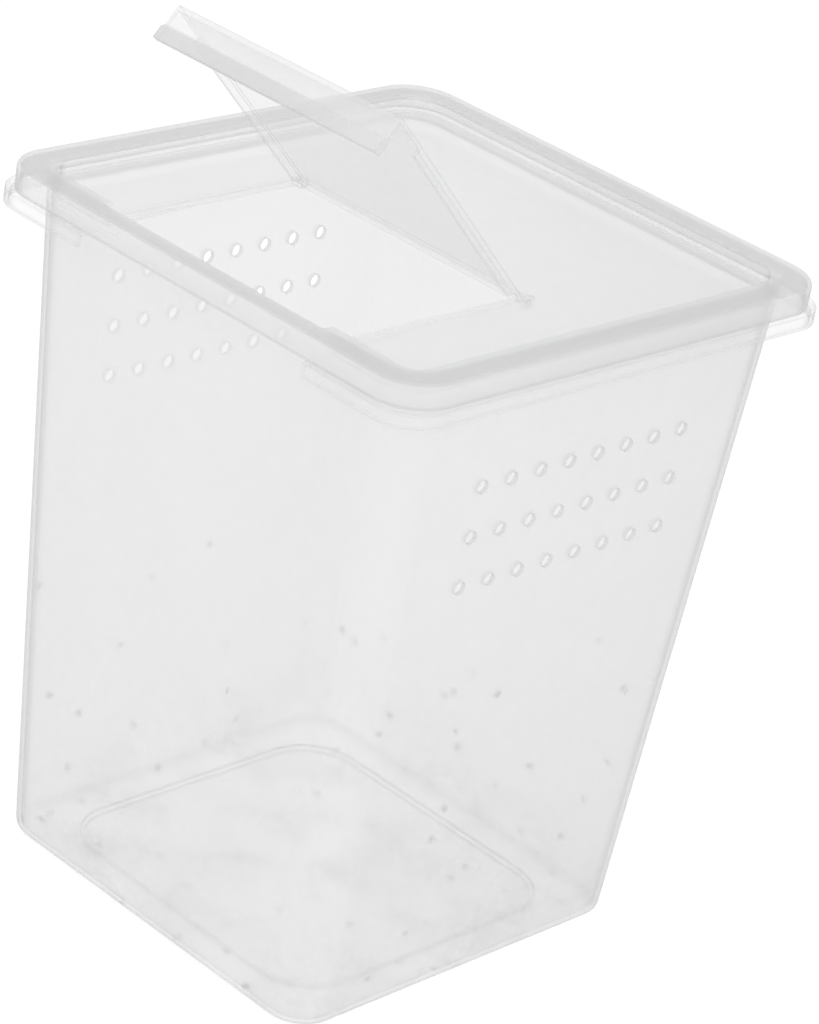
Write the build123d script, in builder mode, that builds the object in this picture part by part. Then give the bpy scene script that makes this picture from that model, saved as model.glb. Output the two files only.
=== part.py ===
from build123d import *
import math
import os

os.makedirs("parts", exist_ok=True)

# Insect box: a tapered square tub, a lid that lifts off, and a flap that swings in the lid.
# Millimetres. The origin is the centre of the base on the table, +Z up.
# The flap opens on the -X side, and the vented walls face +Y and -Y.

# Driving sizes of the tub
tub_height = 239.0
base_width = 151.0
rim_inset = 7.7
tub_corner_radius = 14.5
wall = 1.5
base_edge_radius = 4.5
foot_inset = 14.0
foot_step = 1.2
foot_corner_radius = 20.0

# Vent holes, the same grid in both vented walls
vent_diameter = 4.6
vent_pitch = 13.0
vent_row_spacing = 17.7
vent_columns = 8
vent_rows = 3
vent_top_drop = 43.4

# Driving sizes of the lid
lid_width = 190.0
lid_corner_radius = 17.0
lid_thickness = 1.4
skirt_depth = 8.3
recess_depth = 5.8
lid_edge_radius = 1.6
recess_edge_radius = 0.8
lid_seat_gap = 0.2
plug_clearance = 0.3

# Flange round the tub, under the skirt of the lid
flange_overhang = 1.2
flange_height = 5.0
flange_wall = 1.5
flange_corner_radius = 14.0
flange_clearance = 0.3
flange_gap_width = 102.6
flange_gap_ledge = 3.4

# Opening in the lid and its raised side edges
opening_width = 100.6
front_rim_width = 6.6
opening_corner_radius = 1.5
side_edge_height = 2.6
side_edge_thickness = 1.3

# Flap
flap_side_clearance = 1.0
flap_thickness = 1.3
flap_open_angle = 41.0
flap_rest_gap = 0.15
lip_height = 12.8
lip_thickness = 1.3
lip_clearance = 1.2
grip_height = 5.4
grip_overhang = 1.2
side_rib_depth = 2.3
side_rib_thickness = 1.2
side_rib_end_gap = 1.0

# Hinge of the flap: two pins on its barrel that snap into bosses on the lid
hinge_offset = 2.0
hinge_drop = 0.5
barrel_diameter = 3.4
barrel_clearance = 0.4
pin_diameter = 2.2
pin_clearance = 0.05
pin_engagement = 2.7
boss_diameter = 4.8
boss_length = 3.0

# The rim of the tub stands inside the lid, by its inset
rim_width = lid_width - 2 * rim_inset

# Heights that follow
lid_top = tub_height + lid_seat_gap + lid_thickness
skirt_bottom = lid_top - skirt_depth
panel_top = lid_top - recess_depth
panel_bottom = panel_top - lid_thickness
ledge_top = skirt_bottom - flange_clearance
flange_bottom = ledge_top - flange_height


def tub_half_width(height):
    """Half of the tub's outside width at a height above the table."""
    return (base_width + (rim_width - base_width) * height / tub_height) / 2


# Widths that follow
lid_half = lid_width / 2
plug_outer = tub_half_width(skirt_bottom) - wall - plug_clearance
plug_inner = plug_outer - lid_thickness
plug_corner_radius = tub_corner_radius - wall - plug_clearance
recess_corner_radius = plug_corner_radius - lid_thickness
flange_half = lid_half + flange_overhang
opening_half = opening_width / 2

# Hinge axis, along Y
hinge_x = -hinge_offset
hinge_z = panel_top - hinge_drop
opening_back = hinge_x + barrel_diameter / 2 + barrel_clearance
opening_front = front_rim_width - lid_half

# Tub
with BuildPart() as tub:
    # Walls and base: a leaning block, hollowed by a smaller one with the same lean
    wall_lean = math.degrees(math.atan2((rim_width - base_width) / 2, tub_height))
    with BuildSketch(Plane.XY):
        Rectangle(base_width, base_width)
    extrude(amount=tub_height, taper=-wall_lean)
    inner_base = 2 * (tub_half_width(wall) - wall)
    with BuildSketch(Plane.XY.offset(wall)):
        Rectangle(inner_base, inner_base)
    extrude(amount=tub_height - wall, taper=-wall_lean, mode=Mode.SUBTRACT)

    # Its corners and then the edges of its base, each inside first
    fillet(tub.edges().group_by(Axis.Z)[3], tub_corner_radius - wall)
    fillet(tub.edges().group_by(Axis.Z)[2], tub_corner_radius)
    fillet(tub.edges().group_by(Axis.Z)[1], base_edge_radius - wall)
    fillet(tub.edges().group_by(Axis.Z)[0], base_edge_radius)

    # The middle of the floor is raised, so the box stands on the ring round it
    foot_width = base_width - 2 * foot_inset
    with BuildSketch(Plane.XY.offset(wall)):
        RectangleRounded(foot_width, foot_width, foot_corner_radius)
    extrude(amount=foot_step)
    hollow_width = foot_width - 2 * foot_step
    with BuildSketch(Plane.XY):
        RectangleRounded(hollow_width, hollow_width, foot_corner_radius - foot_step)
    extrude(amount=foot_step, mode=Mode.SUBTRACT)

    # Flange: a ledge with a lip turned down at its outer edge, joined to the middle of the wall
    ledge_bottom = ledge_top - flange_wall
    ledge_width = 2 * flange_half
    ledge_root = 2 * tub_half_width(ledge_top) - wall
    with BuildSketch(Plane.XY.offset(ledge_bottom)):
        RectangleRounded(ledge_width, ledge_width, flange_corner_radius)
        RectangleRounded(ledge_root, ledge_root, tub_corner_radius - wall / 2, mode=Mode.SUBTRACT)
    extrude(amount=flange_wall)
    lip_inside = ledge_width - 2 * flange_wall
    with BuildSketch(Plane.XY.offset(flange_bottom)):
        RectangleRounded(ledge_width, ledge_width, flange_corner_radius)
        RectangleRounded(lip_inside, lip_inside, flange_corner_radius - flange_wall, mode=Mode.SUBTRACT)
    extrude(amount=flange_height)

    # The lip and the edge of the ledge stop where the lip of the flap comes down
    gap_inside = tub_half_width(ledge_top) + flange_gap_ledge
    gap_depth = flange_half - gap_inside
    with BuildSketch(Plane.XY.offset(flange_bottom)):
        with Locations((-gap_inside - gap_depth, 0)):
            Rectangle(2 * gap_depth, flange_gap_width)
    extrude(amount=flange_height, mode=Mode.SUBTRACT)

    # Vent holes through both vented walls
    vent_top = lid_top - vent_top_drop - vent_diameter / 2
    vent_middle = vent_top - vent_row_spacing * (vent_rows - 1) / 2
    vent_plane = Plane(origin=(0, 0, vent_middle), x_dir=(1, 0, 0), z_dir=(0, -1, 0))
    with BuildSketch(vent_plane):
        with GridLocations(vent_pitch, vent_row_spacing, vent_columns, vent_rows):
            Circle(vent_diameter / 2)
    extrude(amount=lid_half, both=True, mode=Mode.SUBTRACT)

# Lid
with BuildPart() as lid:
    with BuildSketch(Plane.XY.offset(skirt_bottom)):
        RectangleRounded(lid_width, lid_width, lid_corner_radius)
    extrude(amount=skirt_depth)
    fillet(lid.edges().group_by(Axis.Z)[-1], lid_edge_radius)

    # Recess in the top, down to the panel
    with BuildSketch(Plane.XY.offset(lid_top)):
        RectangleRounded(2 * plug_inner, 2 * plug_inner, recess_corner_radius)
    extrude(amount=-recess_depth, mode=Mode.SUBTRACT)
    top_face = lid.faces().filter_by(Plane.XY).sort_by(Axis.Z)[-1]
    fillet(top_face.inner_wires()[0].edges(), recess_edge_radius)

    # Channel that the rim of the tub stands in
    skirt_inside = lid_half - lid_thickness
    with BuildSketch(Plane.XY.offset(skirt_bottom)):
        RectangleRounded(2 * skirt_inside, 2 * skirt_inside, lid_corner_radius - lid_thickness)
        RectangleRounded(2 * plug_outer, 2 * plug_outer, plug_corner_radius, mode=Mode.SUBTRACT)
    extrude(amount=skirt_depth - lid_thickness, mode=Mode.SUBTRACT)

    # Space under the panel
    with BuildSketch(Plane.XY.offset(skirt_bottom)):
        RectangleRounded(2 * plug_inner, 2 * plug_inner, recess_corner_radius)
    extrude(amount=panel_bottom - skirt_bottom, mode=Mode.SUBTRACT)

    # Raised side edges of the opening, rising from the hinge to the front
    edge_outer = opening_half + side_edge_thickness
    edge_plane = Plane(origin=(0, edge_outer, panel_top), x_dir=(-1, 0, 0), z_dir=(0, -1, 0))
    edge_start = barrel_diameter
    edge_end = plug_inner + lid_thickness / 2
    with BuildSketch(edge_plane):
        with BuildLine():
            Polyline(
                (edge_start, -lid_thickness / 2),
                (edge_end, -lid_thickness / 2),
                (edge_end, side_edge_height),
                (edge_start, 0),
                close=True,
            )
        make_face()
    extrude(amount=side_edge_thickness)
    mirror(about=Plane.XZ)

    # Opening, through the panel and the inner part of the front rim
    opening_length = opening_back - opening_front
    with BuildSketch(Plane.XY.offset(skirt_bottom)):
        with Locations(((opening_front + opening_back) / 2, 0)):
            RectangleRounded(opening_length, opening_width, opening_corner_radius)
    extrude(amount=skirt_depth, mode=Mode.SUBTRACT)

    # Bosses that hold the pins of the flap
    boss_plane = Plane(origin=(hinge_x, opening_half, hinge_z), x_dir=(1, 0, 0), z_dir=(0, 1, 0))
    with BuildSketch(boss_plane):
        Circle(boss_diameter / 2)
    extrude(amount=boss_length)
    mirror(about=Plane.XZ)
    with BuildSketch(Plane(origin=(hinge_x, 0, hinge_z), x_dir=(1, 0, 0), z_dir=(0, 1, 0))):
        Circle(pin_diameter / 2 + pin_clearance)
    extrude(amount=opening_half + boss_length, both=True, mode=Mode.SUBTRACT)

# Flap. Its profile is drawn shut, as distance in front of the hinge and height above it,
# and the plane that it is drawn on is turned open about the hinge.
flap_half = opening_half - flap_side_clearance
open_turn = math.radians(flap_open_angle)
flap_plane = Plane(
    origin=(hinge_x, 0, hinge_z),
    x_dir=(-math.cos(open_turn), 0, math.sin(open_turn)),
    z_dir=(0, 1, 0),
)

# Shut, the plate leans up from the hinge to rest on the inner edge of the front rim
rest_reach = hinge_x - opening_front
rest_rise = lid_top + flap_rest_gap - hinge_z
rest_distance = math.hypot(rest_reach, rest_rise)
plate_slope = math.atan2(rest_rise, rest_reach) + math.asin(flap_thickness / 2 / rest_distance)
plate_half = flap_thickness / 2 / math.cos(plate_slope)


def plate_height(reach):
    """Height of the middle of the shut plate above the hinge, at a distance in front of it."""
    return reach * math.tan(plate_slope)


lip_inner = lid_half + hinge_x + lip_clearance
lip_outer = lip_inner + lip_thickness
lip_top = plate_height(lip_outer) + plate_half
lip_bottom = lip_top - lip_height
grip_top = lip_bottom + grip_height

with BuildPart() as flap:
    with BuildSketch(flap_plane):
        with BuildLine():
            Polyline(
                (0, -plate_half),
                (0, plate_half),
                (lip_outer, lip_top),
                (lip_outer, grip_top),
                (lip_outer + grip_overhang, grip_top - grip_overhang),
                (lip_outer + grip_overhang, lip_bottom),
                (lip_inner, lip_bottom),
                (lip_inner, plate_height(lip_inner) - plate_half),
                close=True,
            )
        make_face()
        Circle(barrel_diameter / 2)
    extrude(amount=flap_half, both=True)

    # Ribs under the side edges of the plate
    rib_start = barrel_diameter
    rib_end = plug_inner + hinge_x - side_rib_end_gap
    with BuildSketch(flap_plane.offset(flap_half - side_rib_thickness)):
        with BuildLine():
            Polyline(
                (rib_start, plate_height(rib_start)),
                (rib_end, plate_height(rib_end)),
                (rib_end, plate_height(rib_end) - plate_half - side_rib_depth),
                (rib_start + side_rib_depth, plate_height(rib_start) - plate_half - side_rib_depth),
                close=True,
            )
        make_face()
    extrude(amount=side_rib_thickness)
    mirror(about=Plane.XZ)

    # Hinge pins
    with BuildSketch(flap_plane):
        Circle(pin_diameter / 2)
    extrude(amount=flap_half + flap_side_clearance + pin_engagement, both=True)

tub.part.label = "tub"
lid.part.label = "lid"
flap.part.label = "flap"
export_step(tub.part, "parts/tub.step")
export_step(lid.part, "parts/lid.step")
export_step(flap.part, "parts/flap.step")
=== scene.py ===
"""Looks for an insect box of translucent moulded plastic: tub, lid and hinged flap."""

import math

import bpy
from mathutils import Matrix, Vector

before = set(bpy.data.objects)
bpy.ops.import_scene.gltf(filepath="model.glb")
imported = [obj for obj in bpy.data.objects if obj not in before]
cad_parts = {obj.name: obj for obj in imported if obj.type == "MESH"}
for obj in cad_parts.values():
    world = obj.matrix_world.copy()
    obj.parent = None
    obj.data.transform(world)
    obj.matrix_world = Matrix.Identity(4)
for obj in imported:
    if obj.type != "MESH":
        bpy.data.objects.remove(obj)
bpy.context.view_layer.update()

# The photograph's view: where the camera stands, the point that it looks at, and its lean
CAMERA_PLACE = (-0.82959, -0.74628, 0.67551)
CAMERA_TARGET = (0.00893, -0.01017, 0.13914)
CAMERA_LEAN = 10.017
LENS = 132.79
SENSOR = 36.0

# Plain studio light
SURROUND_LEVEL = 0.85
KEY_PLACE = (-1.0, -1.0, 0.9)
KEY_SIZE = 1.2
KEY_POWER = 2.5
WHITE = (1.0, 1.0, 1.0, 1.0)

# The floor: its paint as light sees it, and its paint and glow as the camera sees it
FLOOR_SIZE = 30.0
FLOOR_PAINT = (0.90, 0.90, 0.90, 1.0)
FLOOR_SEEN_PAINT = (0.16, 0.16, 0.16, 1.0)
FLOOR_SEEN_GLOW = 0.89

# How far light is followed through the thin walls
SURFACES_SEEN = 40
BOUNCES = 14

# Natural polypropylene: its colour on a flat, its painted shade at an edge, its colour at a fleck,
# and the tint of what shows through a wall that is seen edge-on
FLAT_SHADE = (0.945, 0.945, 0.95, 1.0)
PAINTED_EDGE_SHADE = (0.70, 0.70, 0.705, 1.0)
FLECK_SHADE = (0.58, 0.58, 0.58, 1.0)
EDGE_ON_TINT = (0.80, 0.80, 0.805, 1.0)
REFRACTION = 1.49
GLOSS = 0.20
ROUGHNESS = (0.34, 0.46)
GRAIN_STRENGTH = 0.06
GRAIN_HEIGHT = 0.0002

# How wide an edge shows, and how close its rounded normal is to the true one where the edge
# starts and where it is full
EDGE_REACH = 0.0006
EDGE_TURN = (0.99, 0.80)

# How squarely a face looks up or down, where it starts and where it fully counts as such
UPRIGHT = (0.6, 0.3)
LEVEL = (0.6, 0.9)

# Where a wall starts to be seen edge-on and where it fully is, and how late it turns dense
EDGE_ON = (0.43, 0.90)
EDGE_ON_POWER = 5.0

# How much of the background each moulding hides, on its flats and beyond that at its edges
TUB_DENSITY = 0.285
LID_DENSITY = 0.26
FLAP_DENSITY = 0.22
EDGE_DENSITY = 0.30
FLAP_EDGE_DENSITY = 0.90
EDGE_ON_DENSITY = 0.30
FLECK_DENSITY = 0.30
CLOUD_DENSITY = 0.015

# How strongly each place of painted shade shows, as a share of an edge's full effect
HOLE_WALLS = 0.7
BASE_CORNERS = 0.25
FOOT_LINE = 0.17
RIM_TOP = 0.75
PANEL_SHADE = 0.28
LIP = 0.07
GRIP_LIGHTEST_END = 0.28
GRIP_DARKEST_END = 0.50

# How much clearer, and so lighter, two places are made, as painted light
TUB_RIM_CLEARER = 0.15
RECESS_WALLS_CLEARER = 0.19

# The tub's air holes: half the width of a row, the heights below and above all of them, and
# how squarely a face may look along the bores and still be the wall of one
HOLES_HALF_WIDTH = 0.050
HOLES_BOTTOM = 0.150
HOLES_TOP = 0.206
BORE_LIMIT = 0.8

# The curve at the foot of the tub's walls: where it leaves the wall, where it meets the floor,
# both by how squarely it looks down, and the height where it ends
CURVE_FROM_WALL = (0.10, 0.45)
CURVE_FROM_FLOOR = (0.995, 0.80)
CURVE_TOP = (0.006, 0.005)

# The step of the foot ring, as a rounded square, its fading sides, and the top of the floor
FOOT_LINE_HALF = 0.0615
FOOT_LINE_RADIUS = 0.020
FOOT_LINE_FADE = (0.003, 0.0005)
FLOOR_TOP = 0.004

# The heights between which the tub's edge enters the lid's channel
CHANNEL_ENTRY = (0.2270, 0.2285)

# The inner edge of the top of the lid's rim, as a rounded square, and how far outside it
# the rim's top and the walls of the recess fade
RIM_HALF = 0.0843
RIM_RADIUS = 0.0063
RIM_FADE = (0.0, 0.0008)
RECESS_FADE = (0.0022, 0.0016)

# The way across the lid's panel towards the corner with the most painted shade, and where along it
# the painted shade and density grow
PANEL_SHADE_WAY = (0.70, -0.71, 0.0)
PANEL_SHADE_FADE = (-0.05, 0.09)

# The flap as it stands open: its angle, its hinge, how far from there its lip starts,
# how high on the lip the grip ends, and where along it the grip's painted shade grows stronger
FLAP_OPEN = math.radians(41.0)
HINGE = (-0.002, 0.0, 0.2343)
LIP_DISTANCE = 0.085
GRIP_TOP = (0.0016, 0.0008)
GRIP_FADE = (-0.045, 0.0)

# Each pattern's scale and detail, and the part of its range that shows
CLOUD_SCALE = 16.0
CLOUD_DETAIL = 4.0
CLOUD_RANGE = (0.35, 0.65)
SATIN_SCALE = 30.0
SATIN_DETAIL = 4.0
SATIN_RANGE = (0.35, 0.65)
GRAIN_SCALE = 420.0
GRAIN_DETAIL = 3.0

# Scuffs on the tub's floor, which fade up to a height and keep a share of their density above it
SCUFF_SCALE = 38.0
SCUFF_DETAIL = 3.0
SCUFF_RANGE = (0.42, 0.72)
SCUFF_DENSITY = 0.12
SCUFF_HEIGHT = 0.03
SCUFF_SHARE_ABOVE = 0.15

# Dirt at the tub's base: broad patches filled with a fine pattern, up to a height
PATCH_SCALE = 45.0
PATCH_DETAIL = 3.0
PATCH_RANGE = (0.46, 0.60)
GRIME_SCALE = 260.0
GRIME_DETAIL = 4.0
GRIME_RANGE = (0.42, 0.60)
GRIME_STRENGTH = 0.30
GRIME_HEIGHT = 0.035

# Flecks: at most one in each cell of a bent pattern, fewer with height, and none above FLECK_HEIGHT
FLECK_SCALE = 75.0
FLECK_EDGE = (0.17, 0.05)
FLECKLESS_CELLS = (0.45, 1.0)
FLECK_HEIGHT = 0.12
BEND_SCALE = 300.0
BEND = (0.003, 0.003, 0.003)

ALONG_X = (1.0, 0.0, 0.0)
ALONG_Y = (0.0, 1.0, 0.0)
UP = (0.0, 0.0, 1.0)


def new_material(name):
    """A material with an empty node tree, its nodes, its links and its output."""
    material = bpy.data.materials.new(name)
    material.use_nodes = True
    tree = material.node_tree
    tree.nodes.clear()
    output = tree.nodes.new("ShaderNodeOutputMaterial")
    return material, tree, output


def calculate(tree, operation, first, second=0.0, clamp=False):
    """A Math node with two inputs, each a socket or a number."""
    node = tree.nodes.new("ShaderNodeMath")
    node.operation = operation
    node.use_clamp = clamp
    for socket, value in zip(node.inputs, (first, second)):
        if hasattr(value, "is_linked"):
            tree.links.new(value, socket)
        else:
            socket.default_value = value
    return node.outputs["Value"]


def product(tree, *values):
    """All the values multiplied together."""
    result = values[0]
    for value in values[1:]:
        result = calculate(tree, "MULTIPLY", result, value)
    return result


def total(tree, *values):
    """All the values added together."""
    result = values[0]
    for value in values[1:]:
        result = calculate(tree, "ADD", result, value)
    return result


def strongest(tree, *values):
    """The largest of the values."""
    result = values[0]
    for value in values[1:]:
        result = calculate(tree, "MAXIMUM", result, value)
    return result


def spread(tree, value, low, high, to_low=0.0, to_high=1.0):
    """A Map Range node that carries a value from one range to another, clamped."""
    node = tree.nodes.new("ShaderNodeMapRange")
    tree.links.new(value, node.inputs["Value"])
    node.inputs["From Min"].default_value = low
    node.inputs["From Max"].default_value = high
    node.inputs["To Min"].default_value = to_low
    node.inputs["To Max"].default_value = to_high
    return node.outputs["Result"]


def blend_shades(tree, share, first, second):
    """A Mix node between two shades, each a socket or a colour."""
    node = tree.nodes.new("ShaderNodeMix")
    node.data_type = "RGBA"
    tree.links.new(share, node.inputs["Factor"])
    for name, shade in (("A", first), ("B", second)):
        if hasattr(shade, "is_linked"):
            tree.links.new(shade, node.inputs[name])
        else:
            node.inputs[name].default_value = shade
    return node.outputs["Result"]


def mix_shaders(tree, share, first, second):
    """A Mix Shader node between two shaders."""
    node = tree.nodes.new("ShaderNodeMixShader")
    tree.links.new(share, node.inputs["Fac"])
    tree.links.new(first, node.inputs[1])
    tree.links.new(second, node.inputs[2])
    return node.outputs["Shader"]


def noise(tree, place, scale, detail):
    """A Noise Texture on the piece's own coordinates."""
    node = tree.nodes.new("ShaderNodeTexNoise")
    tree.links.new(place, node.inputs["Vector"])
    node.inputs["Scale"].default_value = scale
    node.inputs["Detail"].default_value = detail
    return node.outputs["Fac"]


def along(tree, place, direction, start=(0.0, 0.0, 0.0)):
    """The distance of a place from a starting point, measured along a direction."""
    shift = tree.nodes.new("ShaderNodeVectorMath")
    shift.operation = "SUBTRACT"
    tree.links.new(place, shift.inputs[0])
    shift.inputs[1].default_value = start
    dot = tree.nodes.new("ShaderNodeVectorMath")
    dot.operation = "DOT_PRODUCT"
    tree.links.new(shift.outputs["Vector"], dot.inputs[0])
    dot.inputs[1].default_value = direction
    return dot.outputs["Value"]


def near_edge(tree):
    """1 along the edges of a moulding and 0 on its flats, from how far its normal turns there."""
    rounded = tree.nodes.new("ShaderNodeBevel")
    rounded.samples = 6
    rounded.inputs["Radius"].default_value = EDGE_REACH
    surface = tree.nodes.new("ShaderNodeNewGeometry")
    turn = tree.nodes.new("ShaderNodeVectorMath")
    turn.operation = "DOT_PRODUCT"
    tree.links.new(rounded.outputs["Normal"], turn.inputs[0])
    tree.links.new(surface.outputs["Normal"], turn.inputs[1])
    return spread(tree, calculate(tree, "ABSOLUTE", turn.outputs["Value"]), *EDGE_TURN)


def steepness(tree, direction):
    """How squarely a surface faces a direction, either way: 1 for fully, 0 for not at all."""
    surface = tree.nodes.new("ShaderNodeNewGeometry")
    return calculate(tree, "ABSOLUTE", along(tree, surface.outputs["Normal"], direction))


def upright(tree):
    """1 on upright faces and 0 on level ones."""
    return spread(tree, steepness(tree, UP), *UPRIGHT)


def hole_walls(tree, place):
    """1 on the bores of the air holes, given painted shade to look darker than the walls round
    them.
    """
    width = calculate(tree, "ABSOLUTE", along(tree, place, ALONG_X))
    height = along(tree, place, UP)
    within = calculate(tree, "LESS_THAN", width, HOLES_HALF_WIDTH)
    above = calculate(tree, "GREATER_THAN", height, HOLES_BOTTOM)
    below = calculate(tree, "LESS_THAN", height, HOLES_TOP)
    bore = calculate(tree, "LESS_THAN", steepness(tree, ALONG_Y), BORE_LIMIT)
    return product(tree, within, above, below, bore)


def base_corners(tree, place):
    """1 where the floor of the tub curves up into its walls, where shade is painted."""
    level = steepness(tree, UP)
    from_wall = spread(tree, level, *CURVE_FROM_WALL)
    from_floor = spread(tree, level, *CURVE_FROM_FLOOR)
    low = spread(tree, along(tree, place, UP), *CURVE_TOP)
    return product(tree, from_wall, from_floor, low)


def from_square(tree, place, half, radius):
    """How far a place is from a rounded square round the middle of the box, seen from above."""
    squares = []
    for direction in (ALONG_X, ALONG_Y):
        reach = calculate(tree, "ABSOLUTE", along(tree, place, direction))
        past = strongest(tree, calculate(tree, "SUBTRACT", reach, half - radius), 0.0)
        squares.append(product(tree, past, past))
    from_corner = calculate(tree, "SQRT", total(tree, *squares))
    return calculate(tree, "SUBTRACT", from_corner, radius)


def foot_line(tree, place):
    """1 along the step of the foot ring under the floor, fading out on both sides: a painted shade
    line.
    """
    away = from_square(tree, place, FOOT_LINE_HALF, FOOT_LINE_RADIUS)
    line = spread(tree, calculate(tree, "ABSOLUTE", away), *FOOT_LINE_FADE)
    low = calculate(tree, "LESS_THAN", along(tree, place, UP), FLOOR_TOP)
    return product(tree, line, low)


def rim_top(tree, place):
    """1 on top of the lid's rim, over the channel that the edge of the tub fills, where shade is
    painted.
    """
    out = spread(tree, from_square(tree, place, RIM_HALF, RIM_RADIUS), *RIM_FADE)
    return product(tree, out, spread(tree, steepness(tree, UP), *LEVEL))


def lip_bands(tree, place):
    """1 on the flap's lip, and 1 on the grip band along its free edge, where shade is painted."""
    out = along(tree, place, (-math.cos(FLAP_OPEN), 0.0, math.sin(FLAP_OPEN)), HINGE)
    up = along(tree, place, (math.sin(FLAP_OPEN), 0.0, math.cos(FLAP_OPEN)), HINGE)
    lip = calculate(tree, "GREATER_THAN", out, LIP_DISTANCE)
    return lip, product(tree, lip, spread(tree, up, *GRIP_TOP))


def tub_shaded_places(tree, place):
    """Painted shade at the bores of the air holes, and faintly at the curved edge of the floor and
    the foot ring.
    """
    return strongest(
        tree,
        product(tree, hole_walls(tree, place), HOLE_WALLS),
        product(tree, base_corners(tree, place), BASE_CORNERS),
        product(tree, foot_line(tree, place), FOOT_LINE),
    )


def lid_shaded_places(tree, place):
    """Painted shade on the top of the rim, and faint painted shade growing towards one corner of
    the panel.
    """
    corner_shade = spread(tree, along(tree, place, PANEL_SHADE_WAY), *PANEL_SHADE_FADE, 0.0, PANEL_SHADE)
    return strongest(tree, product(tree, rim_top(tree, place), RIM_TOP), corner_shade)


def flap_shaded_places(tree, place):
    """Painted shade on the lip, and more on its grip band, growing towards one end."""
    lip, grip = lip_bands(tree, place)
    across = along(tree, place, ALONG_Y)
    fade = spread(tree, across, *GRIP_FADE, GRIP_LIGHTEST_END, GRIP_DARKEST_END)
    return strongest(tree, product(tree, lip, LIP), product(tree, grip, fade))


def tub_rim(tree, place):
    """How much clearer the edge of the tub is made where it stands in the lid's channel, as painted
    light.
    """
    high = spread(tree, along(tree, place, UP), *CHANNEL_ENTRY)
    return product(tree, high, TUB_RIM_CLEARER)


def recess_walls(tree, place):
    """How much clearer the upright walls of the lid's recess are made than the rest of the lid, as
    painted light.
    """
    inside = spread(tree, from_square(tree, place, RIM_HALF, RIM_RADIUS), *RECESS_FADE)
    return product(tree, inside, upright(tree), RECESS_WALLS_CLEARER)


def scuff_clouds(tree, place):
    """Soft clouds of fine scratches on the floor of the tub, which thin out up its walls."""
    blots = noise(tree, place, SCUFF_SCALE, SCUFF_DETAIL)
    blots = spread(tree, blots, *SCUFF_RANGE, 0.0, SCUFF_DENSITY)
    fade = spread(tree, along(tree, place, UP), 0.0, SCUFF_HEIGHT, 1.0, SCUFF_SHARE_ABOVE)
    return product(tree, blots, fade)


def grime(tree, place):
    """Mottled patches of fine dirt on the floor of the tub and at the foot of its walls."""
    patches = spread(tree, noise(tree, place, PATCH_SCALE, PATCH_DETAIL), *PATCH_RANGE)
    fine = noise(tree, place, GRIME_SCALE, GRIME_DETAIL)
    fine = spread(tree, fine, *GRIME_RANGE, 0.0, GRIME_STRENGTH)
    low = spread(tree, along(tree, place, UP), 0.0, GRIME_HEIGHT, 1.0, 0.0)
    return product(tree, patches, fine, low)


def flecks(tree, place):
    """Scattered dark flecks in the lower half of the tub, most of them near its floor."""
    wander = tree.nodes.new("ShaderNodeTexNoise")
    tree.links.new(place, wander.inputs["Vector"])
    wander.inputs["Scale"].default_value = BEND_SCALE
    bent = tree.nodes.new("ShaderNodeVectorMath")
    bent.operation = "MULTIPLY_ADD"
    tree.links.new(wander.outputs["Color"], bent.inputs[0])
    bent.inputs[1].default_value = BEND
    tree.links.new(place, bent.inputs[2])
    cells = tree.nodes.new("ShaderNodeTexVoronoi")
    tree.links.new(bent.outputs["Vector"], cells.inputs["Vector"])
    cells.inputs["Scale"].default_value = FLECK_SCALE
    chance = tree.nodes.new("ShaderNodeSeparateColor")
    tree.links.new(cells.outputs["Color"], chance.inputs["Color"])
    without = spread(tree, along(tree, place, UP), 0.0, FLECK_HEIGHT, *FLECKLESS_CELLS)
    here = calculate(tree, "GREATER_THAN", chance.outputs["Red"], without)
    spot = spread(tree, cells.outputs["Distance"], *FLECK_EDGE)
    return product(tree, spot, here)


def satin(tree, place, colour):
    """The satin skin of the moulding, in a colour, with its fine grain."""
    body = tree.nodes.new("ShaderNodeBsdfPrincipled")
    tree.links.new(colour, body.inputs["Base Color"])
    smears = noise(tree, place, SATIN_SCALE, SATIN_DETAIL)
    tree.links.new(spread(tree, smears, *SATIN_RANGE, *ROUGHNESS), body.inputs["Roughness"])
    body.inputs["IOR"].default_value = REFRACTION
    body.inputs["Specular IOR Level"].default_value = GLOSS
    grain = tree.nodes.new("ShaderNodeBump")
    grain.inputs["Strength"].default_value = GRAIN_STRENGTH
    grain.inputs["Distance"].default_value = GRAIN_HEIGHT
    tree.links.new(noise(tree, place, GRAIN_SCALE, GRAIN_DETAIL), grain.inputs["Height"])
    tree.links.new(grain.outputs["Normal"], body.inputs["Normal"])
    return body.outputs["BSDF"]


def edge_on(tree):
    """How much denser a wall is where it is seen edge-on, and the tint of what shows through."""
    facing = tree.nodes.new("ShaderNodeLayerWeight")
    facing.inputs["Blend"].default_value = 0.5
    hidden = calculate(tree, "POWER", facing.outputs["Facing"], EDGE_ON_POWER)
    grazed = product(tree, spread(tree, facing.outputs["Facing"], *EDGE_ON), upright(tree))
    return product(tree, hidden, EDGE_ON_DENSITY), blend_shades(tree, grazed, WHITE, EDGE_ON_TINT)


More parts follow.
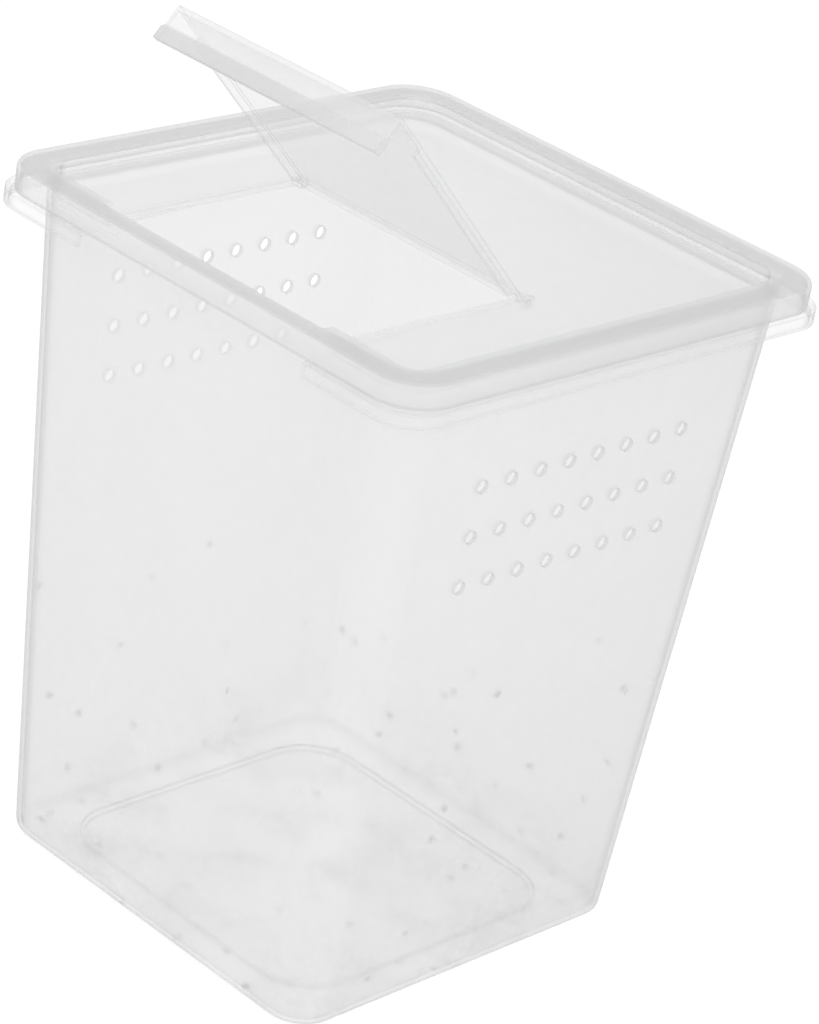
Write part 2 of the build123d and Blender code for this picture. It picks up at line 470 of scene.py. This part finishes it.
def natural_plastic(name, density, edge_density, shaded_places, lightened_places=None, used=False):
    """Natural translucent plastic, denser where it is used, denser and painted darker at its edges
    and given places as painted shade, and clearer at other given places as painted light.

    The tub and the lid, which have places made clearer, are also denser where they are seen
    edge-on.
    """
    material, tree, output = new_material(name)
    place = tree.nodes.new("ShaderNodeTexCoord").outputs["Object"]
    clear = tree.nodes.new("ShaderNodeBsdfTransparent")

    # Edges and the given places are painted darker, as painted shade, and made denser
    dense_and_shaded = strongest(tree, near_edge(tree), shaded_places(tree, place))
    colour = blend_shades(tree, dense_and_shaded, FLAT_SHADE, PAINTED_EDGE_SHADE)
    cloud = noise(tree, place, CLOUD_SCALE, CLOUD_DETAIL)
    cloud = spread(tree, cloud, *CLOUD_RANGE, -CLOUD_DENSITY, CLOUD_DENSITY)
    solidity = total(tree, cloud, product(tree, dense_and_shaded, edge_density))
    if used:
        specks = strongest(tree, flecks(tree, place), grime(tree, place))
        colour = blend_shades(tree, specks, colour, FLECK_SHADE)
        worn = total(tree, scuff_clouds(tree, place), product(tree, specks, FLECK_DENSITY))
        solidity = total(tree, solidity, worn)
    if lightened_places:
        solidity = calculate(tree, "SUBTRACT", solidity, lightened_places(tree, place))
        hidden, tint = edge_on(tree)
        solidity = total(tree, solidity, hidden)
        tree.links.new(tint, clear.inputs["Color"])
    solidity = calculate(tree, "ADD", solidity, density, clamp=True)

    skin = satin(tree, place, colour)
    plastic = mix_shaders(tree, solidity, clear.outputs["BSDF"], skin)
    tree.links.new(plastic, output.inputs["Surface"])
    return material


def seen_rays(tree):
    """1 for a ray that the camera, a reflection or glass sees the background with."""
    ray = tree.nodes.new("ShaderNodeLightPath")
    kinds = ("Is Camera Ray", "Is Glossy Ray", "Is Transmission Ray")
    return strongest(tree, *(ray.outputs[kind] for kind in kinds))


def white_floor():
    """The pale floor: near white to the camera, with the box's soft shadow kept."""
    material, tree, output = new_material("floor_white")
    paint = tree.nodes.new("ShaderNodeBsdfDiffuse")
    paint.inputs["Color"].default_value = FLOOR_PAINT
    seen_paint = tree.nodes.new("ShaderNodeBsdfDiffuse")
    seen_paint.inputs["Color"].default_value = FLOOR_SEEN_PAINT
    glow = tree.nodes.new("ShaderNodeEmission")
    glow.inputs["Strength"].default_value = FLOOR_SEEN_GLOW
    seen = tree.nodes.new("ShaderNodeAddShader")
    tree.links.new(seen_paint.outputs["BSDF"], seen.inputs[0])
    tree.links.new(glow.outputs["Emission"], seen.inputs[1])
    floor = mix_shaders(tree, seen_rays(tree), paint.outputs["BSDF"], seen.outputs["Shader"])
    tree.links.new(floor, output.inputs["Surface"])
    return material


def lay_floor():
    """A large plane under the box."""
    half = FLOOR_SIZE / 2
    corners = [(-half, -half, 0), (half, -half, 0), (half, half, 0), (-half, half, 0)]
    mesh = bpy.data.meshes.new("floor")
    mesh.from_pydata(corners, [], [(0, 1, 2, 3)])
    floor = bpy.data.objects.new("floor", mesh)
    bpy.context.scene.collection.objects.link(floor)
    mesh.materials.append(white_floor())


def aim(place, target):
    """The rotation that points an object at a place towards a target."""
    return (Vector(target) - Vector(place)).to_track_quat("-Z", "Y")


def surround_light():
    """A white surround with an even level, pure white to the camera."""
    world = bpy.data.worlds.new("studio")
    bpy.context.scene.world = world
    world.use_nodes = True
    tree = world.node_tree
    tree.nodes.clear()
    output = tree.nodes.new("ShaderNodeOutputWorld")
    levels = []
    for strength in (SURROUND_LEVEL, 1.0):
        level = tree.nodes.new("ShaderNodeBackground")
        level.inputs["Color"].default_value = WHITE
        level.inputs["Strength"].default_value = strength
        levels.append(level.outputs["Background"])
    surround = mix_shaders(tree, seen_rays(tree), *levels)
    tree.links.new(surround, output.inputs["Surface"])


def key_light():
    """One large soft lamp in front of the box."""
    lamp = bpy.data.lights.new("key", "AREA")
    lamp.shape = "DISK"
    lamp.size = KEY_SIZE
    lamp.energy = KEY_POWER
    key = bpy.data.objects.new("key", lamp)
    key.location = KEY_PLACE
    key.rotation_euler = aim(KEY_PLACE, CAMERA_TARGET).to_euler()
    bpy.context.scene.collection.objects.link(key)


def set_camera():
    """The photograph's view."""
    lens = bpy.data.cameras.new("camera")
    lens.lens = LENS
    lens.sensor_width = SENSOR
    lens.clip_start = 0.05
    camera = bpy.data.objects.new("camera", lens)
    look = aim(CAMERA_PLACE, CAMERA_TARGET).to_matrix().to_4x4()
    lean = Matrix.Rotation(math.radians(CAMERA_LEAN), 4, "Z")
    camera.matrix_world = Matrix.Translation(CAMERA_PLACE) @ look @ lean
    bpy.context.scene.collection.objects.link(camera)
    bpy.context.scene.camera = camera


def tub_finish():
    """The tub's plastic, scuffed and dirty at its base, with painted shade at its hole bores, floor
    curve and foot ring, and clearer at its rim as painted light.
    """
    dense_and_shaded, lightened = tub_shaded_places, tub_rim
    return natural_plastic("tub_natural", TUB_DENSITY, EDGE_DENSITY, dense_and_shaded, lightened, used=True)


def lid_finish():
    """The lid's plastic, with painted shade on its rim top and towards one panel corner, and
    clearer at the walls of its recess as painted light.
    """
    dense_and_shaded, lightened = lid_shaded_places, recess_walls
    return natural_plastic("lid_natural", LID_DENSITY, EDGE_DENSITY, dense_and_shaded, lightened)


def flap_finish():
    """The flap's plastic, the clearest of the three, with dense edges and painted shade on its lip.
    """
    return natural_plastic("flap_natural", FLAP_DENSITY, FLAP_EDGE_DENSITY, flap_shaded_places)


def dress_pieces():
    """Each moulding gets its own finish of the same plastic."""
    finishes = {"tub": tub_finish, "lid": lid_finish, "flap": flap_finish}
    for node, finish in finishes.items():
        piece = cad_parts[node]
        piece.data.materials.clear()
        piece.data.materials.append(finish())


def set_light_paths():
    """Plain colour, and enough surfaces for the walls that stand behind each other."""
    scene = bpy.context.scene
    scene.view_settings.view_transform = "Standard"
    scene.cycles.transparent_max_bounces = SURFACES_SEEN
    scene.cycles.max_bounces = BOUNCES
    scene.cycles.diffuse_bounces = BOUNCES
    scene.cycles.transmission_bounces = BOUNCES


set_camera()
surround_light()
key_light()
lay_floor()
dress_pieces()
set_light_paths()
